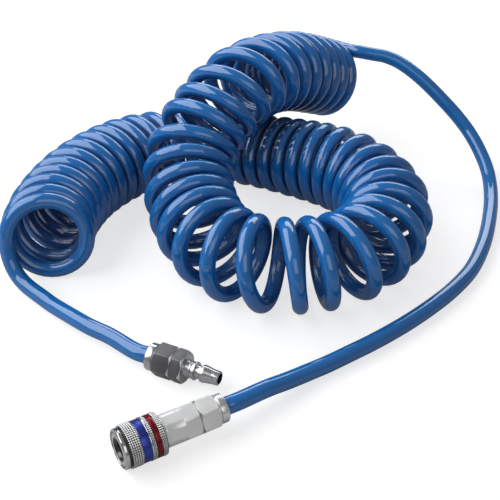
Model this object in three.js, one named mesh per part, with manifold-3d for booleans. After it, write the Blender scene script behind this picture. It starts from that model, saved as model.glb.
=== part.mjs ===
// A coiled air hose with a quick-release socket on one end and the plug that fits it on the other.
// Millimetres, +Z up. The hose stands on the table at z = 0, and the origin is on the table, at the
// bottom centre of the two fittings. The socket's axis lies along X, with its mouth facing -X.
import * as THREE from "three";
import { mergeVertices } from "three/addons/utils/BufferGeometryUtils.js";
import Module from "manifold-3d";

const wasm = await Module();
wasm.setup();

// ---- Hose -------------------------------------------------------------------------------------
const HOSE_DIAMETER = 12;
const HOSE_BORE = 8;
const HOSE_FLAT = HOSE_DIAMETER / 10; // how deep the coil is cut flat where it stands
const COIL_RADIUS = 30; // from the coil's axis to the hose's own centre line
const COIL_FIRST_TURN = 1; // whole turns have the hose on the left side of the coil, going up
const COIL_LAST_TURN = 52.25;
const AXIS_FIRST_TURN = 0.43; // the turn that the first point of the axis stands for
const CURL_STEPS = 8;
const CURL_SIDES = 5;
const AXIS_STEPS = 24; // between two points of the axis
const SQUASH_SPREAD = 0.6; // how much a flattened turn widens
const TAIL_SIDES = 10;
const TAIL_STEP = 18;
const LEAD_STEPS = 4;

// The route of the coil's axis: x, y, how far the turns are lifted off the table, the gap between
// the turns on the inner side of the bend, how high a turn is for its width, and how far it leans
// back along the axis for its height.
const COIL_AXIS = [
  [-15.8, 165.3, 0, 0.3, 1, 0.22],
  [-2.9, 193.8, 0, 0.3, 1, 0.17],
  [12.8, 212.9, 0, 0.3, 1, 0.1],
  [36, 235.4, 0, 0.75, 1, 0.05],
  [64.4, 251.9, 0, 0.85, 1, 0.02],
  [101.7, 266.1, 0, 0.95, 0.95, 0],
  [140, 268.2, 0, 0.85, 0.82, 0],
  [167.8, 258.7, 0, 0.85, 0.76, 0],
  [194.7, 236.2, 0, 0.5, 0.76, 0],
  [214.3, 205.4, 0, 1.3, 0.85, 0],
  [233.2, 168.1, 0, 1.2, 0.98, 0],
  [243.6, 144.5, 0, 0.4, 1, 0],
  [247.7, 115.1, 0, 0.3, 1, 0],
  [239.4, 82.3, 0, 0.3, 1, 0],
  [221.3, 59.1, 0, 0.3, 1, 0],
  [196.3, 44.6, 0, 0.6, 1, 0],
  [170, 39.7, 0, 1.2, 1, 0],
  [148.3, 44.4, 0, 2.4, 1, 0],
  [128, 52.6, 0, 2.2, 1, 0],
  [110, 65.4, 0, 0.8, 1, 0],
  [98.2, 87, 0, 0.3, 1, 0],
  [92.9, 107.3, 1.7, 0.2, 1, 0],
  [94.6, 129.4, 5.2, 0.2, 1, 0],
  [98.8, 151.1, 11.7, 0.2, 1, 0],
  [104.7, 167.3, 20.2, 0.2, 1, 0],
  [115.1, 182.7, 31.6, 0.2, 0.97, 0],
  [128.7, 193.7, 45.3, 0.2, 0.93, 0],
  [147, 199.9, 57.2, 0.6, 0.9, 0],
  [168.7, 209.2, 68.3, 2.5, 0.88, 0],
  [199.2, 221.9, 69.7, 4, 0.9, 0],
  [238.6, 238.8, 57.6, 3.5, 0.97, 0],
  [268.2, 251, 42.7, 2.5, 1, 0],
  [305.2, 263.8, 23.7, 2.5, 1, 0],
];

// The free stretch from the coil's near end to the plug, laid on the table.
const PLUG_TAIL = [
  [-29.7, 142.2, 6.6],
  [-26.4, 131.6, 6.2],
  [-20.6, 112, 8],
  [-13.6, 91.3, 9.4],
  [-5.1, 72.8, 10.2],
];

// The free stretch from the coil's far end, down to the table and round to the socket.
const SOCKET_TAIL = [
  [334.4, 234.8, 87],
  [341.1, 228.6, 86.1],
  [349.4, 219.4, 82.5],
  [357.3, 208.2, 76],
  [364.8, 194.5, 67],
  [371.9, 179.3, 56],
  [377.5, 163, 45],
  [380.7, 146.1, 33.5],
  [379.3, 128, 22.5],
  [372.5, 108.7, 13.5],
  [355.9, 85.1, 7.5],
  [330.4, 58.6, 6.1],
  [301.3, 33, 6.1],
  [270.6, 11.9, 6.1],
  [240.5, -1.3, 6.1],
  [213.8, -9.2, 6.1],
  [190, -14.6, 6.1],
  [169.1, -18.1, 6.1],
  [149.2, -20.5, 6.1],
  [131.2, -21.9, 6.1],
  [113.3, -23.2, 6.1],
  [96.3, -24.3, 7],
  [79.4, -26.3, 9.1],
  [61.4, -28.3, 11.9],
];

// ---- Fits -------------------------------------------------------------------------------------
const SEAT_GAP = 0.3; // between pieces that touch
const RUNNING_GAP = 0.15; // between a ball and what it rolls on
const OVERLAP = 0.01; // between two forms that are joined into one piece

// ---- Where the fittings lie -------------------------------------------------------------------
const SOCKET_MOUTH = [-44, -31.1];
const PLUG_TIP = [40.3, -3.7];
const PLUG_TURN = 124.7; // degrees from +X to the way from the plug's tip to its hose
const SOCKET_ROLL = 10; // degrees that the socket's hexagons are rolled from lying on a flat

// ---- Both hose ends ---------------------------------------------------------------------------
const HEX_FLATS = 21;
const HEX_CHAMFER = 1.3;
const HEX_EDGE = 0.2; // how far a hexagon's end faces are turned below its flats
const SPIGOT_DIAMETER = 15.4;
const SPIGOT_LENGTH = 8;
const STEM_DIAMETER = 7.4;
const STEM_BORE = 5.2;
const STEM_BARBS = 3;
const BARB_DEPTH = 0.35;
const CLAMP_LENGTH = 3.8;
const CLAMP_CONE = 2.4;
const COLLAR_DIAMETER = 19.2;
const COLLAR_CHAMFER = 0.7;
const NUT_HEX = 13.5;
const NUT_COLLAR = 6.4;

// ---- Plug, from its tip ------------------------------------------------------------------------
const NOSE_DIAMETER = 12;
const TIP_DIAMETER = 9.8;
const NOSE_LENGTH = 13.5;
const LOCK_GROOVE_DIAMETER = 9.4;
const LOCK_GROOVE_LENGTH = 3.7;
const PLUG_BORE = 7.2;
const SHANK_LENGTH = 7.4;
const SHANK_GROOVE = 0.6;
const PLUG_HEX_LENGTH = 8.7;
const PLUG_HEX_CHAMFER = 2.1;

// ---- Socket, from its mouth --------------------------------------------------------------------
const MOUTH_BORE = 12.6;
const MOUTH_CHAMFER = 2;
const BALL_DIAMETER = 4.5;
const BALL_COUNT = 6;
const BALL_PLACE = 7;
const BALL_REACH = 10.3; // across the balls' inner points when they lock
const BALL_LIFT = 1.2;
const SLEEVE_TRAVEL = 4.5;
const LIP_WIDTH = 21.8;
const LIP_DEPTH = 4.6;
const BARREL_DIAMETER = 18.4;
const BARREL_LENGTH = 22.2;
const VALVE_BODY_DIAMETER = 16.4;
const VALVE_BORE = 14.4;
const VALVE_PLACE = 21; // the face of the shoulder that the valve shuts against
const SHOULDER_THICKNESS = 2;
const SHOULDER_BORE = 10.8;
const VALVE_TRAVEL = 5;
const VALVE_OVERRUN = 1.2; // bore left behind the poppet when it is fully open
const VALVE_SPRING_POCKET = 1.7;
const POPPET_NOSE = 9.6;
const POPPET_REACH = 3; // how far the poppet's nose stands out through the shoulder
const POPPET_HEAD = 2.4;
const POPPET_SKIRT = 5;
const POPPET_SLOTS = 4;
const VALVE_SEAL_THICKNESS = 1.1;
const NOSE_SEAL_PLACE = 13.2;
const NOSE_SEAL_WIDTH = 1.6;
const NOSE_SEAL_DEPTH = 1.1;
const SLEEVE_LENGTH = 27.4;
const SLEEVE_CORE = 25.2;
const SLEEVE_BORE = 23.1;
const LAND_BORE = 19.6;
const LAND_END = 10.5;
const FRONT_DIAMETER = 26.2;
const FRONT_LENGTH = 2.6;
const FRONT_BEVEL = 0.8;
const GROOVE_DEPTH = 0.4;
const GROOVE_WIDTH = 1.6;
// The rings on the sleeve, from its rear end forwards: how wide, and how far they stand above its core.
const RIM_WIDTH = 3.4;
const RIM_RISE = 1.4;
const RED_BAND_WIDTH = 2.9;
const RED_BAND_RISE = 1.2;
const NARROW_RING_WIDTH = 3.4;
const NARROW_RING_RISE = 1.3;
const LIP_WIDTH_SHARE = 0.3; // the plain lip's share of the narrow ring's width
const LIP_RISE = 1.4;
const BLUE_BAND_WIDTH = 5;
const BLUE_BAND_RISE = 1;
const GRIP_RISE = 1.4;
const KNURL_DEPTH = 0.45;
const KNURL_TEETH = 40;
const KNURL_ROWS = 6;
const GUIDE_DIAMETER = 22.3;
const GUIDE_LENGTH = 3.8;
const NECK_LENGTH = 1.2;
const REAR_HEX_LENGTH = 23.9;
const SPRING_WIRE = 1.2;
const SPRING_MEAN = 21;
const SPRING_TURNS = 4.5;
const VALVE_WIRE = 0.9;
const VALVE_SPRING_MEAN = 10.2;
const VALVE_SPRING_TURNS = 5;
const FLOW_BORE = 7.2;
// The rear hexagon's corners are turned down in two steps behind the sleeve.
const FIRST_LAND_LENGTH = 2.2;
const FIRST_LAND_DIAMETER = 22.4;
const SECOND_LAND_LENGTH = 11.2;
const SECOND_LAND_DIAMETER = 22;

// Worked out from the sizes above.
const POPPET_HEAD_START = VALVE_PLACE + VALVE_SEAL_THICKNESS + 2 * SEAT_GAP;
const POPPET_HEAD_END = POPPET_HEAD_START + POPPET_HEAD;
const POPPET_END = POPPET_HEAD_END + POPPET_SKIRT;
const VALVE_BODY_END = POPPET_END + VALVE_TRAVEL + VALVE_OVERRUN;
const VALVE_SPRING_SEAT = VALVE_BODY_END + VALVE_SPRING_POCKET;
const RIM_START = SLEEVE_LENGTH - RIM_WIDTH;
const RED_START = RIM_START - SEAT_GAP - RED_BAND_WIDTH;
const NARROW_START = RED_START - SEAT_GAP - NARROW_RING_WIDTH;
const BLUE_START = NARROW_START - SEAT_GAP - BLUE_BAND_WIDTH;
const GUIDE_PLACE = SLEEVE_LENGTH - GUIDE_LENGTH;
const SLEEVE_HEIGHT = SLEEVE_CORE / 2 + Math.max(RIM_RISE, GRIP_RISE, LIP_RISE); // it lies on these

const TURNED_SIDES = 24;
const SMALL_SIDES = 20;

// ---- Materials --------------------------------------------------------------------------------
const FINISHES = {
  hose: { color: 0x1450a0, roughness: 0.18, metalness: 0 },
  nickel: { color: 0xc9cbcc, roughness: 0.22, metalness: 1 },
  satin: { color: 0x9d9fa1, roughness: 0.42, metalness: 1 },
  gunmetal: { color: 0x55585c, roughness: 0.35, metalness: 1 },
  blue: { color: 0x2d62b8, roughness: 0.32, metalness: 0.6 },
  red: { color: 0x8c1a22, roughness: 0.35, metalness: 0.6 },
  steel: { color: 0xb4b6b8, roughness: 0.18, metalness: 1 },
  brass: { color: 0xb58d3d, roughness: 0.3, metalness: 1 },
  rubber: { color: 0x17171a, roughness: 0.7, metalness: 0 },
};

// ---- Solids -----------------------------------------------------------------------------------

// A closed geometry as a solid, with its faces pointing out.
function solid(geometry) {
  const bare = geometry.clone();
  bare.deleteAttribute("normal");
  bare.deleteAttribute("uv");
  const merged = mergeVertices(bare, 1e-4);
  const corners = new Uint32Array(merged.index.array);
  const make = () =>
    new wasm.Manifold(
      new wasm.Mesh({
        numProp: 3,
        vertProperties: new Float32Array(merged.attributes.position.array),
        triVerts: corners,
      }),
    );
  const made = make();
  if (made.volume() > 0) return made;
  for (let corner = 0; corner < corners.length; corner += 3) {
    [corners[corner + 1], corners[corner + 2]] = [corners[corner + 2], corners[corner + 1]];
  }
  return make();
}

// A solid as a geometry with flat faces.
function geometryOf(made) {
  const mesh = made.getMesh();
  const geometry = new THREE.BufferGeometry();
  geometry.setAttribute("position", new THREE.BufferAttribute(mesh.vertProperties, 3));
  geometry.setIndex(new THREE.BufferAttribute(mesh.triVerts, 1));
  const flat = geometry.toNonIndexed();
  flat.computeVertexNormals();
  return flat;
}

// A named piece of one finish.
function piece(name, finish, made) {
  const mesh = new THREE.Mesh(geometryOf(made), new THREE.MeshStandardMaterial(FINISHES[finish]));
  mesh.name = name;
  return mesh;
}

// A solid turned about X from an outline of [x, radius] points.
function turned(outline, sides = TURNED_SIDES) {
  const points = outline.map(([x, radius]) => new THREE.Vector2(radius, x));
  const lathe = new THREE.LatheGeometry(points, sides);
  lathe.rotateZ(-Math.PI / 2);
  return solid(lathe);
}

// A rod turned about X: its outline from the axis at the first x to the axis at the last.
function rod(outline, sides) {
  return turned([[outline[0][0], 0], ...outline, [outline.at(-1)[0], 0]], sides);
}

// A ring turned about X, between an inner and an outer outline that both run the same way.
function ring(inner, outer, sides) {
  return turned([...inner, ...outer.slice().reverse(), inner[0]], sides);
}

// A plain tube along X.
function tube(start, end, innerRadius, outerRadius, sides) {
  return ring(
    [
      [start, innerRadius],
      [end, innerRadius],
    ],
    [
      [start, outerRadius],
      [end, outerRadius],
    ],
    sides,
  );
}

// A hexagonal bar along X that lies on a flat, with its corners chamfered at both ends.
function hexBar(start, end, flats, firstChamfer, lastChamfer) {
  const cornerRadius = flats / Math.sqrt(3);
  const flat = flats / 2;
  const bar = new THREE.CylinderGeometry(cornerRadius, cornerRadius, end - start, 6);
  bar.rotateY(Math.PI / 6);
  bar.rotateZ(-Math.PI / 2);
  bar.translate((start + end) / 2, 0, 0);
  const roundedEnds = rod([
    [start, flat - HEX_EDGE],
    [start + firstChamfer, cornerRadius + HEX_EDGE],
    [end - lastChamfer, cornerRadius + HEX_EDGE],
    [end, flat - HEX_EDGE],
  ]);
  return solid(bar).intersect(roundedEnds);
}

// A box between two corners.
function box(low, high) {
  const size = high.map((value, axis) => value - low[axis]);
  const geometry = new THREE.BoxGeometry(...size);
  geometry.translate(...low.map((value, axis) => value + size[axis] / 2));
  return solid(geometry);
}

// An unbroken strand: one many-sided section at each of a row of rings, closed at both ends.
function strand(rings) {
  const sides = rings[0].length;
  const positions = rings.flatMap((corners) => corners.flatMap((corner) => corner.toArray()));
  const faces = [];
  for (let step = 0; step < rings.length - 1; step++) {
    for (let side = 0; side < sides; side++) {
      const a = step * sides + side;
      const b = step * sides + ((side + 1) % sides);
      faces.push(a, a + sides, b, b, a + sides, b + sides);
    }
  }
  const end = (rings.length - 1) * sides;
  for (let side = 1; side < sides - 1; side++) {
    faces.push(0, side, side + 1, end, end + side + 1, end + side);
  }
  const geometry = new THREE.BufferGeometry();
  geometry.setAttribute("position", new THREE.Float32BufferAttribute(positions, 3));
  geometry.setIndex(faces);
  return geometry;
}

// The section round a point: its first corner points the way of "out", square to "along".
function section(centre, along, out, radius, sides) {
  const first = out.clone().addScaledVector(along, -out.dot(along)).normalize();
  const second = new THREE.Vector3().crossVectors(along, first);
  return Array.from({ length: sides }, (unused, side) => {
    const angle = (2 * Math.PI * side) / sides;
    return centre
      .clone()
      .addScaledVector(first, radius * Math.cos(angle))
      .addScaledVector(second, radius * Math.sin(angle));
  });
}

// A helical spring of round wire about X, from its first wire centre to its last.
function spring(start, end, meanRadius, wireRadius, turns) {
  const steps = Math.round(turns * CURL_STEPS);
  const rings = [];
  for (let step = 0; step <= steps; step++) {
    const angle = (2 * Math.PI * step) / CURL_STEPS;
    const out = new THREE.Vector3(0, Math.cos(angle), Math.sin(angle));
    const centre = out.clone().multiplyScalar(meanRadius);
    centre.x = start + ((end - start) * step) / steps;
    const rise = (end - start) / (2 * Math.PI * turns);
    const along = new THREE.Vector3(rise, -Math.sin(angle) * meanRadius, Math.cos(angle) * meanRadius);
    rings.push(section(centre, along.normalize(), out, wireRadius, CURL_SIDES));
  }
  return solid(strand(rings));
}

// ---- Coil -------------------------------------------------------------------------------------

// A point of the smooth route among four neighbouring rows: a uniform cubic B-spline.
function blend(rows, t) {
  const weights = [
    (1 - t) ** 3 / 6,
    (3 * t ** 3 - 6 * t ** 2 + 4) / 6,
    (-3 * t ** 3 + 3 * t ** 2 + 3 * t + 1) / 6,
    t ** 3 / 6,
  ];
  return rows[0].map((unused, column) =>
    weights.reduce((sum, weight, row) => sum + weight * rows[row][column], 0),
  );
}

// The coil's axis as close points, each with the turn number that the hose has reached there. The
// turns keep their gap on the inner side of each bend, so the sharper the bend, the fewer they are.
function coilAxis() {
  const last = COIL_AXIS.length - 1;
  const before = COIL_AXIS[0].map((value, column) => 2 * value - COIL_AXIS[1][column]);
  const after = COIL_AXIS[last].map((value, column) => 2 * value - COIL_AXIS[last - 1][column]);
  const rows = [before, ...COIL_AXIS, after];
  const steps = last * AXIS_STEPS;
  const axis = [];
  for (let step = 0; step <= steps; step++) {
    const span = Math.min(Math.floor(step / AXIS_STEPS), last - 1);
    const [x, y, lift, gap, squash, lean] = blend(rows.slice(span, span + 4), step / AXIS_STEPS - span);
    const z = lift + COIL_RADIUS * squash + HOSE_DIAMETER / 2 - HOSE_FLAT;
    axis.push({ centre: new THREE.Vector3(x, y, z), gap, squash, lean });
  }
  const near = (index) => axis[Math.min(Math.max(index, 0), steps)];
  axis.forEach((point, index) => {
    point.along = near(index + 1).centre.clone().sub(near(index - 1).centre).normalize();
  });
  axis.forEach((point, index) => {
    const turning = near(index + 1).along.distanceTo(near(index - 1).along);
    const bend = turning / near(index + 1).centre.distanceTo(near(index - 1).centre);
    const reach = COIL_RADIUS * (1 + SQUASH_SPREAD * (1 - point.squash));
    point.turnsPerMm = (1 - reach * bend) / (HOSE_DIAMETER + point.gap);
  });
  axis.forEach((point, index) => {
    if (index === 0) {
      point.turn = AXIS_FIRST_TURN;
      return;
    }
    const previous = axis[index - 1];
    const meanTurns = (point.turnsPerMm + previous.turnsPerMm) / 2;
    point.turn = previous.turn + meanTurns * point.centre.distanceTo(previous.centre);
  });
  return axis;
}

// The hose's centre at one turn number, and the way out from the coil's axis there.
function coilPoint(axis, turn) {
  const next = Math.max(1, axis.findIndex((point) => point.turn >= turn));
  const [from, to] = [axis[next - 1], axis[next]];
  const share = (turn - from.turn) / (to.turn - from.turn);
  const centre = from.centre.clone().lerp(to.centre, share);
  const along = from.along.clone().lerp(to.along, share).normalize();
  const squash = from.squash + (to.squash - from.squash) * share;
  const lean = from.lean + (to.lean - from.lean) * share;
  const up = new THREE.Vector3(0, 0, 1).addScaledVector(along, -along.z).normalize();
  const side = new THREE.Vector3().crossVectors(up, along);
  const angle = 2 * Math.PI * turn;
  const wide = COIL_RADIUS * (1 + SQUASH_SPREAD * (1 - squash));
  const high = COIL_RADIUS * squash * Math.sin(angle);
  const out = new THREE.Vector3()
    .addScaledVector(side, wide * Math.cos(angle))
    .addScaledVector(up, high)
    .addScaledVector(along, high * lean);
  return { centre: centre.add(out), out: out.normalize() };
}

// The curve that leads the hose from the coil's end into its straight stub, which meets a tail.
function lead(end, heading, tail) {
  const [start, second] = tail.slice(0, 2).map((point) => new THREE.Vector3(...point));
  const way = second.sub(start).normalize();
  const stubEnd = start.clone().addScaledVector(way, -SEAT_GAP);
  const stubStart = stubEnd.clone().addScaledVector(way, -HOSE_DIAMETER);
  const reach = end.distanceTo(stubStart) / 2.2;
  const curve = new THREE.CubicBezierCurve3(
    end,
    end.clone().addScaledVector(heading, reach),
    stubStart.clone().addScaledVector(way, -reach),
    stubStart,
  );
  return [...curve.getPoints(LEAD_STEPS).slice(1), stubEnd];
}

// The centres of the whole coil, one for each step of each turn, with its two stubs.
function coilRoute() {
  const axis = coilAxis();
  const points = [];
  const steps = Math.round((COIL_LAST_TURN - COIL_FIRST_TURN) * CURL_STEPS);
  for (let step = 0; step <= steps; step++) {
    points.push(coilPoint(axis, COIL_FIRST_TURN + step / CURL_STEPS));
  }
  const heading = (turn, step) =>
    coilPoint(axis, turn + step).centre.sub(coilPoint(axis, turn).centre).normalize();
  const small = 0.01;
  const first = lead(points[0].centre, heading(COIL_FIRST_TURN, -small), PLUG_TAIL);
  const last = lead(points.at(-1).centre, heading(COIL_LAST_TURN, small), SOCKET_TAIL);
  return [
    ...first.reverse().map((centre) => ({ centre, out: points[0].out })),
    ...points,
    ...last.map((centre) => ({ centre, out: points.at(-1).out })),
  ];
}

// The least gap between stretches of the strand that lie side by side, measured on its points.
function leastGap(rings) {
  const middles = rings.slice(0, -1).map((corners, step) =>
    corners.map((corner, side) => corner.clone().lerp(rings[step + 1][side], 0.5)),
  );
  const nearby = 2.2 * HOSE_DIAMETER;
  let least = Infinity;
  for (let a = 0; a < rings.length; a++) {
    for (let b = a + CURL_STEPS / 2; b < middles.length; b++) {
      if (rings[a][0].distanceTo(rings[b][0]) > nearby) continue;
      for (const corner of rings[a]) {
        for (const other of [...rings[b], ...middles[b]]) {
          least = Math.min(least, corner.distanceTo(other));
        }
      }
    }
  }
  return least;
}

function coil() {
  const route = coilRoute();
  const rings = route.map(({ centre, out }, index) => {
    const before = route[Math.max(index - 1, 0)].centre;
    const after = route[Math.min(index + 1, route.length - 1)].centre;
    const along = after.clone().sub(before).normalize();
    return section(centre, along, out, HOSE_DIAMETER / 2, CURL_SIDES);
  });
  console.log("least gap of the coil to itself: " + leastGap(rings).toFixed(2) + " mm");
  const bounds = new THREE.Box3().setFromPoints(rings.flat());
  const below = box(
    [bounds.min.x - 1, bounds.min.y - 1, bounds.min.z - 1],
    [bounds.max.x + 1, bounds.max.y + 1, 0],
  );
  return solid(strand(rings)).subtract(below);
}

// ---- Tails ------------------------------------------------------------------------------------

// A free stretch of hose through its points, straight for one diameter where it meets a fitting.
function tail(points, fittingEnd, way) {
  const straight = fittingEnd.clone().addScaledVector(way, HOSE_DIAMETER);
  const end = fittingEnd.clone().addScaledVector(way, SEAT_GAP);
  const route = [...points.map((point) => new THREE.Vector3(...point)), straight, end];
  const curve = new THREE.CatmullRomCurve3(route, false, "catmullrom", 0.5);
  const outline = new THREE.Shape();
  for (let side = 0; side < TAIL_SIDES; side++) {
    const angle = (2 * Math.PI * side) / TAIL_SIDES;
    const [x, y] = [Math.cos(angle), Math.sin(angle)].map((value) => (value * HOSE_DIAMETER) / 2);
    if (side === 0) outline.moveTo(x, y);
    else outline.lineTo(x, y);
  }
  const steps = Math.round(curve.getLength() / TAIL_STEP);
  return solid(new THREE.ExtrudeGeometry(outline, { steps, extrudePath: curve, bevelEnabled: false }));
}

// ---- Hose ends --------------------------------------------------------------------------------

// The threaded spigot and the barbed stem behind a fitting's hexagon, from x = start.
function hoseStem(start, end) {
  const spigot = SPIGOT_DIAMETER / 2;
  const stem = STEM_DIAMETER / 2;
  const stemStart = start + SPIGOT_LENGTH;
  const stemEnd = end - COLLAR_CHAMFER;
  const pitch = (stemEnd - stemStart) / STEM_BARBS;
  const barbs = [];
  for (let barb = 0; barb < STEM_BARBS; barb++) {
    const x = stemStart + barb * pitch;
    barbs.push([x + 0.15 * pitch, stem - BARB_DEPTH], [x + 0.3 * pitch, stem], [x + pitch, stem - BARB_DEPTH]);
  }
  return rod([[start - 1, spigot], [stemStart, spigot], [stemStart, stem - BARB_DEPTH], ...barbs]);
}

// The nut that grips the hose: a hexagon with a round collar, bored to clear what it screws over.
function gripNut(name, finish, start) {
  const hexEnd = start + NUT_HEX;
  const end = hexEnd + NUT_COLLAR;
  const thread = SPIGOT_DIAMETER / 2 + SEAT_GAP;
  const throat = HOSE_DIAMETER / 2 + SEAT_GAP;
  const collar = COLLAR_DIAMETER / 2;
  const coneStart = start + SPIGOT_LENGTH + SEAT_GAP + CLAMP_LENGTH - CLAMP_CONE + 0.5;
  const bore = rod([
    [start - 1, thread],
    [coneStart, thread],
    [coneStart + CLAMP_CONE * 1.6, throat],
    [end + 1, throat],
  ]);
  const shape = hexBar(start + SEAT_GAP, hexEnd, HEX_FLATS, HEX_CHAMFER, HEX_CHAMFER).add(
    rod([
      [hexEnd - 1, collar - COLLAR_CHAMFER],
      [hexEnd + COLLAR_CHAMFER, collar - COLLAR_CHAMFER],
      [hexEnd + 2 * COLLAR_CHAMFER, collar],
      [end - COLLAR_CHAMFER, collar],
      [end, collar - COLLAR_CHAMFER],
    ]),
  );
  return piece(name, finish, shape.subtract(bore));
}

// The split ring that the nut squeezes on the hose.
function clampRing(name, start) {
  const front = start + SPIGOT_LENGTH + 2 * SEAT_GAP;
  const inner = HOSE_DIAMETER / 2 + SEAT_GAP;
  const outer = SPIGOT_DIAMETER / 2;
  const end = front + CLAMP_LENGTH;
  return piece(
    name,
    "brass",
    ring(
      [
        [front, inner],
        [end, inner],
      ],
      [
        [front, outer],
        [end - CLAMP_CONE, outer],
        [end, inner + 0.4],
      ],
    ),
  );
}

// The end of the hose that the nut holds on the stem.
function grippedHose(name, start, end) {
  const front = start + SPIGOT_LENGTH + SEAT_GAP;
  return piece(name, "hose", tube(front, end, HOSE_BORE / 2, HOSE_DIAMETER / 2, SMALL_SIDES));
}

// ---- Plug -------------------------------------------------------------------------------------
function plug() {
  const group = new THREE.Group();
  const nose = NOSE_DIAMETER / 2;
  const tip = TIP_DIAMETER / 2;
  const groove = LOCK_GROOVE_DIAMETER / 2;
  const grooveEnd = NOSE_LENGTH + LOCK_GROOVE_LENGTH;
  const hexStart = grooveEnd + SHANK_LENGTH;
  const nutStart = hexStart + PLUG_HEX_LENGTH;
  const end = nutStart + NUT_HEX + NUT_COLLAR;
  const shankGrooves = [0.35, 0.65].flatMap((share) => {
    const x = grooveEnd + SHANK_LENGTH * share;
    return [
      [x - SHANK_GROOVE, nose],
      [x - SHANK_GROOVE / 2, nose - SHANK_GROOVE],
      [x + SHANK_GROOVE / 2, nose - SHANK_GROOVE],
      [x + SHANK_GROOVE, nose],
    ];
  });
  const front = rod([
    [0, tip - 0.6],
    [0.5, tip],
    [NOSE_LENGTH * 0.35, tip + 0.15],
    [NOSE_LENGTH * 0.8, nose],
    [NOSE_LENGTH - 0.9, nose],
    [NOSE_LENGTH, groove],
    [grooveEnd - 0.4, groove],
    [grooveEnd, nose + 0.4],
    [grooveEnd + 0.9, nose + 0.4],
    [grooveEnd + 1, nose],
    ...shankGrooves,
    [hexStart + 1, nose],
  ]);
  const bore = rod(
    [
      [-1, PLUG_BORE / 2],
      [hexStart, PLUG_BORE / 2],
      [hexStart + 2, STEM_BORE / 2],
      [end + 1, STEM_BORE / 2],
    ],
    SMALL_SIDES,
  );
  const body = front
    .add(hexBar(hexStart, nutStart, HEX_FLATS, PLUG_HEX_CHAMFER, HEX_CHAMFER))
    .add(hoseStem(nutStart, end))
    .subtract(bore);
  group.add(
    piece("plug_body", "gunmetal", body),
    gripNut("plug_nut", "gunmetal", nutStart),
    clampRing("plug_clamp_ring", nutStart),
    grippedHose("hose_end_plug", nutStart, end),
  );
  group.position.set(...PLUG_TIP, HEX_FLATS / 2);
  group.rotation.z = THREE.MathUtils.degToRad(PLUG_TURN);
  return { group, end };
}

// ---- Socket -----------------------------------------------------------------------------------

// A ring on the sleeve with a pattern of raised points round it.
function knurledRing(start, end, innerRadius, outerRadius, rows) {
  const columns = KNURL_TEETH;
  const outline = [[start, innerRadius]];
  for (let row = 0; row <= rows; row++) {
    outline.push([start + ((end - start) * row) / rows, outerRadius]);
  }
  outline.push([end, innerRadius], [start, innerRadius]);
  const lathe = new THREE.LatheGeometry(
    outline.map(([x, radius]) => new THREE.Vector2(radius, x)),
    columns,
  );
  const positions = lathe.attributes.position;
  const perColumn = outline.length;
  for (let vertex = 0; vertex < positions.count; vertex++) {
    const column = Math.floor(vertex / perColumn) % columns;
    const row = (vertex % perColumn) - 1;
    const onFace = row >= 0 && row <= rows;
    if (!onFace || (column + row) % 2 === 0) continue;
    const share = 1 - KNURL_DEPTH / outerRadius;
    positions.setX(vertex, positions.getX(vertex) * share);
    positions.setZ(vertex, positions.getZ(vertex) * share);
  }
  lathe.rotateZ(-Math.PI / 2);
  return solid(lathe);
}

// The bodies' holes that the balls sit in: narrower at the bore, so that no ball falls in.
function ballHole(turn) {
  const bore = MOUTH_BORE / 2;
  const ball = BALL_DIAMETER / 2;
  const hole = new THREE.LatheGeometry(
    [
      [0, bore - 2],
      [ball - RUNNING_GAP, bore - 2],
      [ball - RUNNING_GAP, bore],
      [ball + RUNNING_GAP, bore + 0.6],
      [ball + RUNNING_GAP, LIP_WIDTH],
      [0, LIP_WIDTH],
    ].map(([radius, height]) => new THREE.Vector2(radius, height)),
    12,
  );
  hole.rotateX(Math.PI / 2);
  hole.translate(BALL_PLACE, 0, 0);
  hole.rotateX(turn);
  return solid(hole);
}

function frontBody() {
  const mouth = MOUTH_BORE / 2;
  const lip = LIP_WIDTH / 2;
  const barrel = BARREL_DIAMETER / 2;
  const rear = VALVE_BODY_DIAMETER / 2;
  const shoulderStart = VALVE_PLACE - SHOULDER_THICKNESS;
  const sealStart = NOSE_SEAL_PLACE - NOSE_SEAL_WIDTH / 2 - 0.2;
  const sealEnd = NOSE_SEAL_PLACE + NOSE_SEAL_WIDTH / 2 + 0.2;
  const sealRadius = mouth + NOSE_SEAL_DEPTH + SEAT_GAP;
  let body = ring(
    [
      [SEAT_GAP, mouth + MOUTH_CHAMFER * 0.8],
      [SEAT_GAP + MOUTH_CHAMFER, mouth],
      [sealStart, mouth],
      [sealStart, sealRadius],
      [sealEnd, sealRadius],
      [sealEnd, mouth],
      [shoulderStart, mouth],
      [shoulderStart, SHOULDER_BORE / 2],
      [VALVE_PLACE, SHOULDER_BORE / 2],
      [VALVE_PLACE, VALVE_BORE / 2],
      [VALVE_BODY_END, VALVE_BORE / 2],
    ],
    [
      [SEAT_GAP, lip - 0.6],
      [SEAT_GAP + 0.6, lip],
      [LIP_DEPTH, lip],
      [LIP_DEPTH, barrel],
      [BARREL_LENGTH, barrel],
      [BARREL_LENGTH + 0.4, rear],
      [VALVE_BODY_END, rear],
    ],
  );
  for (let ball = 0; ball < BALL_COUNT; ball++) {
    body = body.subtract(ballHole(((ball + 0.5) * 2 * Math.PI) / BALL_COUNT));
  }
  return body;
}

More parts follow.
